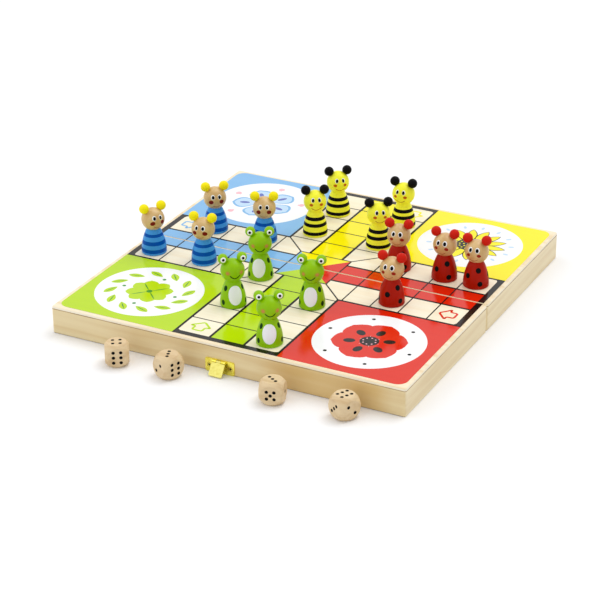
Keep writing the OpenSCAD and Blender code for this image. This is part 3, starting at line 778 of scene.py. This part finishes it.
def eyes(b, gap, rise, a, b_half, pa, pb):
    for s in (-1, 1):
        angle = s * across(gap, rise)
        b.lens(on_ball(HEAD, SKULL_R, angle, rise), a, b_half, "white", tilt=s * 0.06)
        b.lens(on_ball(HEAD, SKULL_R, angle - s * PUPIL_IN, rise - PUPIL_DOWN), pa, pb,
               "black", PUPIL_LOW, PUPIL_HIGH)


def cheeks(b, key, gap, rise, a, b_half, tilt, high=0.06):
    for s in (-1, 1):
        b.lens(on_ball(HEAD, SKULL_R, s * across(gap, rise), rise), a, b_half, key,
               tilt=s * tilt, high=high)


def peg(b, kind):
    """The turned peg as a lathe, with its painted rings as bands of faces."""
    body_key, head_key = BASE[kind]
    marks = [z for ring in RINGS.get(kind, []) for z in ring]
    # Rows close together in the foot's edge and in the neck, and at each painted ring
    zs = [FOOT_EDGE * (1 - math.cos(math.pi / 2 * i / 5)) for i in range(6)]
    zs += [1.6 + 0.6 * i for i in range(29)] + [18.8 + 0.4 * i for i in range(6)]
    zs = sorted(set(round(z, 3) for z in zs if all(abs(z - m) > 0.12 for m in marks))
                | set(marks))
    profile = [(body_radius(z), z) for z in zs] + [(NECK_R, HEAD_FROM)]
    start = math.asin((HEAD_FROM - SKULL_Z) / SKULL_R)
    for i in range(1, HEAD_ROWS):
        a = start + (math.pi / 2 - start) * i / HEAD_ROWS
        profile.append((SKULL_R * math.cos(a), SKULL_Z + SKULL_R * math.sin(a)))
    rings = [[b.vert((r * math.cos(2 * math.pi * k / TURNS),
                      r * math.sin(2 * math.pi * k / TURNS), z))
              for k in range(TURNS)] for r, z in profile]
    for (_, z0), (_, z1), low, high in zip(profile, profile[1:], rings, rings[1:]):
        mid = (z0 + z1) / 2
        key = head_key if mid > HEAD_FROM else body_key
        if any(lo < mid < hi for lo, hi in RINGS.get(kind, [])):
            key = RING_KEY[kind]
        b.strip(low, high, key)
    b.face(rings[0], "wood")
    b.fan(rings[-1], b.vert((0, 0, SKULL_Z + SKULL_R)), head_key)


# Angle from the front in degrees and height of each spot
SPOTS = [(36, 15.4), (-22, 10.6), (42, 4.8), (106, 10.2), (140, 16.2), (156, 5.2),
         (-166, 12.4), (-128, 5.4), (-96, 15.4), (-76, 5.0)]
FROG_SPOTS = [(60, 15.8), (62, 4.6), (-60, 15.8), (-62, 4.6), (122, 10.4), (178, 15.6),
              (-122, 10.4), (176, 4.6)]
# How far the marks on a body are turned from the face above them, in degrees
TWIST = {"frog_2": -8, "frog_4": -7, "ladybird_2": 20, "ladybird_4": -6}


def paint_marks(b, kind, twist):
    """The face, and the spots or the belly, of one kind of pawn."""
    if kind == "frog":
        b.lens(on_body(twist, 10.9), 5.5, 7.5, "belly", high=0.12, n=40)
        for angle, z in FROG_SPOTS:
            b.lens(on_body(angle, z), 1.75, 2.1, "dark_green", high=0.05)
        cheeks(b, "blush", 10.7, 6, 2.2, 1.9, 0.0)
        cheeks(b, "pink", 10.7, 6, 1.6, 1.35, 0.0, 0.09)
        smile(b, "dark_green", 25, -4, 17, 0.9)
        return
    if kind == "ladybird":
        for angle, z in SPOTS:
            b.lens(on_body(angle + twist, z), 2.1, 2.1, "black", high=0.05)
        eyes(b, 5.8, 26, 1.8, 2.3, 1.25, 1.65)
        cheeks(b, "cheek", 8.6, -1, 1.75, 1.25, 0.35)
        smile(b, "smile", 24, -20, 12, 0.5)
    elif kind == "bee":
        eyes(b, 5.6, 26, 1.45, 2.05, 1.1, 1.6)
        cheeks(b, "orange", 8.4, 1, 1.6, 1.2, 0.15)
        smile(b, "cheek", 27, -16, 13, 0.5)
    else:
        eyes(b, 5.7, 23, 1.65, 2.1, 1.2, 1.55)
        cheeks(b, "maroon", 8.8, -4, 2.2, 1.7, 0.4)
        smile(b, "smile", 22, -24, 8, 0.45)


def ball_mesh(b, centre, key, n=40, rows=20):
    rings = []
    for i in range(1, rows):
        a = math.pi * i / rows
        rings.append([b.vert(centre + Vector((
            math.sin(a) * math.cos(2 * math.pi * k / n),
            math.sin(a) * math.sin(2 * math.pi * k / n), -math.cos(a))) * BALL_R)
            for k in range(n)])
    for low, high in zip(rings, rings[1:]):
        b.strip(low, high, key)
    for ring, pole in ((rings[0], -BALL_R), (rings[-1], BALL_R)):
        b.fan(ring, b.vert(centre + Vector((0, 0, pole))), key)


# The frogs' eyes: their angle and rise on the balls, and the sizes of white and pupil
FROG_EYE, FROG_WHITE_R, FROG_PUPIL_R = (4, 8), 2.45, 1.1


def pawn(kind, number, arm, side, cell, off, turn):
    """One pawn on its cell: the dressed peg and its two balls."""
    out = CELL_END - (cell - 0.5) * CELL
    lane = side * 2 * LANE + off
    x, y = {"front": (lane, -out), "back": (lane, out),
            "right": (out, lane), "left": (-out, lane)}[arm]
    place = Matrix.Translation((x, y, PRINT_Z)) @ Matrix.Rotation(
        math.radians(turn), 4, "Z")
    body = f"{kind}_{number}"
    b = Builder(body + "_figure", PAINTS, place)
    peg(b, kind)
    paint_marks(b, kind, TWIST.get(body, 0))
    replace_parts(b.done(body, 35), body + "_peg")
    b = Builder(body + "_knobs", PAINTS, place)
    reach = SKULL_R + BALL_R - BALL_SEAT
    for s in (-1, 1):
        a = math.radians(LEAN[kind])
        centre = HEAD + Vector((s * math.sin(a), 0, math.cos(a))) * reach
        ball_mesh(b, centre, BALL_KEY[kind])
        if kind == "frog":
            spot = on_ball(centre, BALL_R, s * FROG_EYE[0], FROG_EYE[1])
            b.lens(spot, FROG_WHITE_R, FROG_WHITE_R, "white")
            b.lens(spot, FROG_PUPIL_R, FROG_PUPIL_R, "black", 0.07, PUPIL_HIGH)
    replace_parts(b.done(body),
                body + ("_eyes" if kind == "frog" else "_balls"))


for row in PAWNS:
    pawn(*row)


# Dice


def turned_by(rx, ry, rz):
    """A rotation about X, then Y, then Z, in degrees."""
    return (Matrix.Rotation(math.radians(rz), 4, "Z")
            @ Matrix.Rotation(math.radians(ry), 4, "Y")
            @ Matrix.Rotation(math.radians(rx), 4, "X"))


def pips(n):
    """The places of the pips on the face with n of them."""
    a, r = PIP_OUT, PIP_ROW
    pair, cross = [(-a, -a), (a, a)], [(-a, a), (a, -a)]
    return {1: [(0, 0)], 2: pair, 3: pair + [(0, 0)], 4: pair + cross,
            5: pair + cross + [(0, 0)],
            6: [(x, y) for x in (-a, a) for y in (-r, 0, r)]}[n]


# The count on each face, and the rotation that brings the top to it
FACES = [(3, (0, 0, 90)), (4, (180, 0, 0)), (2, (90, 0, 0)), (5, (-90, 0, 0)),
         (6, (90, 0, 90)), (1, (90, 0, -90))]


PIP_PAINT = 0.03


def pip_paint(b, turn, qx, qy, n=24, steps=4):
    """Black paint lining one pip's hollow."""
    ball = (PIP_R ** 2 + PIP_DEPTH ** 2) / (2 * PIP_DEPTH)

    def at(rho, k, lift):
        t = 2 * math.pi * k / n
        r = PIP_R * rho
        drop = math.sqrt(ball ** 2 - r ** 2) - (ball - PIP_DEPTH)
        p = Vector((qx + r * math.cos(t), qy + r * math.sin(t), DIE_W / 2 - drop + lift))
        return b.vert(turn @ p)

    edge = [at(1, k, PIP_PAINT) for k in range(n)]
    for lift in (PIP_PAINT, -PAINT_SUNK):
        rings = [edge] + [[at(1 - i / steps, k, lift) for k in range(n)]
                          for i in range(1, steps)]
        for outer, inner in zip(rings, rings[1:]):
            b.strip(outer, inner, "black")
        b.fan(rings[-1], at(0, 0, lift), "black")


for name, x, gap, rotation in DICE:
    place = (Matrix.Translation((x, -BOARD_HALF - gap, DIE_W / 2))
             @ turned_by(*rotation))
    b = Builder(name + "_pips", PAINTS, place)
    for count, facing in FACES:
        for qx, qy in pips(count):
            pip_paint(b, turned_by(*facing), qx, qy)
    b.done(name + "_body")


# Finishes of the solids that stay


def dress(material, *names):
    """Gives CAD nodes a material."""
    for name in names:
        data = NODES[name].data
        data.materials.clear()
        data.materials.append(material)


for tray in ("front", "back"):
    dress(rail_x_shaded, tray + "_outer_rail", tray + "_hinge_rail")
    dress(rail_y, tray + "_left_rail", tray + "_right_rail")
    dress(ply, tray + "_panel")
    dress(INKS["cream"], tray + "_print")
dress(brass_bright, "hinge_front_leaves", "hinge_back_leaves", "clasp_plate",
      "catch_plate", "clasp_screws")
dress(brass_flap, "clasp_flap")
dress(brass_dark, "hinge_pins", "clasp_pin", "catch_screws", "hinge_front_screws",
      "hinge_back_screws")
dress(dice_wood, "die_1", "die_2", "die_3", "die_4")


def screw_slot_shade():
    """Painted shade on the front edge: a black cross in each screw head's recess, and a
    dark ring for the gap round the head.
    """
    low, high = (Vector(v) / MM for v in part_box("clasp_screws"))
    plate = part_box("clasp_plate")[0][1] / MM + KNUCKLE_D + KNUCKLE_GAP / 2
    b = Builder("clasp_screw_slot_shade", PAINTS)
    for x in (low.x + SCREW_R, high.x - SCREW_R):
        b.place = Matrix.Translation((x, low.y, (low.z + high.z) / 2)) @ Matrix.Rotation(
            math.pi / 2, 4, "X")
        # Painted shade: a black cross where the head's recess lies in shadow
        for w, h, front in ((SLOT_LONG, SLOT_THIN, 0.01), (SLOT_THIN, SLOT_LONG, 0.02)):
            b.prism([(-w, -h), (w, -h), (w, h), (-w, h)], -0.5, front, "black")
        # Painted shade: a brown ring for the shadowed gap round the head
        b.loop_ring(disc(0, 0, SCREW_R - 0.12), disc(0, 0, SCREW_R + 0.14),
                    low.y - plate - PAINT_SUNK, low.y - plate + 0.02, "smile")
    b.done("front_tray")


screw_slot_shade()


# Floor, light and camera


def seen_directly(nodes, links):
    """A socket that is 1 for the rays that see the white backdrop, else 0."""
    path = nodes.new("ShaderNodeLightPath")
    total = path.outputs["Is Camera Ray"]
    for ray in ("Is Glossy Ray", "Is Transmission Ray"):
        add = nodes.new("ShaderNodeMath")
        add.operation = "ADD"
        add.use_clamp = True
        links.new(total, add.inputs[0])
        links.new(path.outputs[ray], add.inputs[1])
        total = add.outputs[0]
    return total


FLOOR_SPAN = 6.0


def lay_floor():
    s = Shader("floor_white", Roughness=0.9, Specular_IOR_Level=0.1)
    s.colour(s.mix(seen_directly(s.nodes, s.links), (0.82, 0.82, 0.82, 1),
                   (0.98, 0.98, 0.985, 1)))
    mesh = bpy.data.meshes.new("floor")
    mesh.from_pydata([(x * FLOOR_SPAN, y * FLOOR_SPAN, 0)
                      for x, y in ((-1, -1), (1, -1), (1, 1), (-1, 1))],
                     [], [(0, 1, 2, 3)])
    mesh.materials.append(s.material)
    floor = bpy.data.objects.new("floor", mesh)
    bpy.context.scene.collection.objects.link(floor)


def studio_world():
    """A dim white surround that shows as plain white where it is seen directly."""
    world = bpy.data.worlds.new("studio")
    bpy.context.scene.world = world
    world.use_nodes = True
    nodes, links = world.node_tree.nodes, world.node_tree.links
    nodes.clear()
    blend = nodes.new("ShaderNodeMixShader")
    links.new(seen_directly(nodes, links), blend.inputs[0])
    for i, (colour, strength) in enumerate((((0.97, 0.98, 1.0, 1), 0.68),
                                            ((1, 1, 1, 1), 1.0))):
        light = nodes.new("ShaderNodeBackground")
        light.inputs[0].default_value = colour
        light.inputs[1].default_value = strength
        links.new(light.outputs[0], blend.inputs[i + 1])
    links.new(blend.outputs[0], nodes.new("ShaderNodeOutputWorld").inputs[0])


def sun(name, towards, strength, angle):
    """A sun that shines from a direction, as wide as an angle in degrees."""
    data = bpy.data.lights.new(name, "SUN")
    data.energy = strength
    data.angle = math.radians(angle)
    obj = bpy.data.objects.new(name, data)
    obj.rotation_euler = Vector(towards).to_track_quat("Z", "Y").to_euler()
    bpy.context.scene.collection.objects.link(obj)


def place_camera():
    data = bpy.data.cameras.new("camera")
    data.lens = CAM_LENS
    data.sensor_width = 36.0
    data.clip_end = 50.0
    camera = bpy.data.objects.new("camera", data)
    az, el, roll = (math.radians(v) for v in (CAM_AZ, CAM_EL, CAM_ROLL))
    back = Vector((math.sin(az) * math.cos(el), -math.cos(az) * math.cos(el),
                   math.sin(el)))
    right = (-back).cross(Vector((0, 0, 1))).normalized()
    up = right.cross(-back)
    rolled_right = right * math.cos(roll) + up * math.sin(roll)
    rolled_up = up * math.cos(roll) - right * math.sin(roll)
    turn = Matrix((rolled_right, rolled_up, back)).transposed().to_4x4()
    camera.matrix_world = Matrix.Translation(CAM_TARGET + back * CAM_DIST) @ turn
    bpy.context.scene.collection.objects.link(camera)
    bpy.context.scene.camera = camera


lay_floor()
studio_world()
sun("key", (0.2, 0.42, 1.0), 1.06, 40)
sun("fill", (-0.75, -0.1, 0.7), 0.46, 60)
sun("front", (-0.35, -0.9, 0.35), 0.24, 60)
place_camera()
bpy.context.scene.view_settings.view_transform = "Standard"
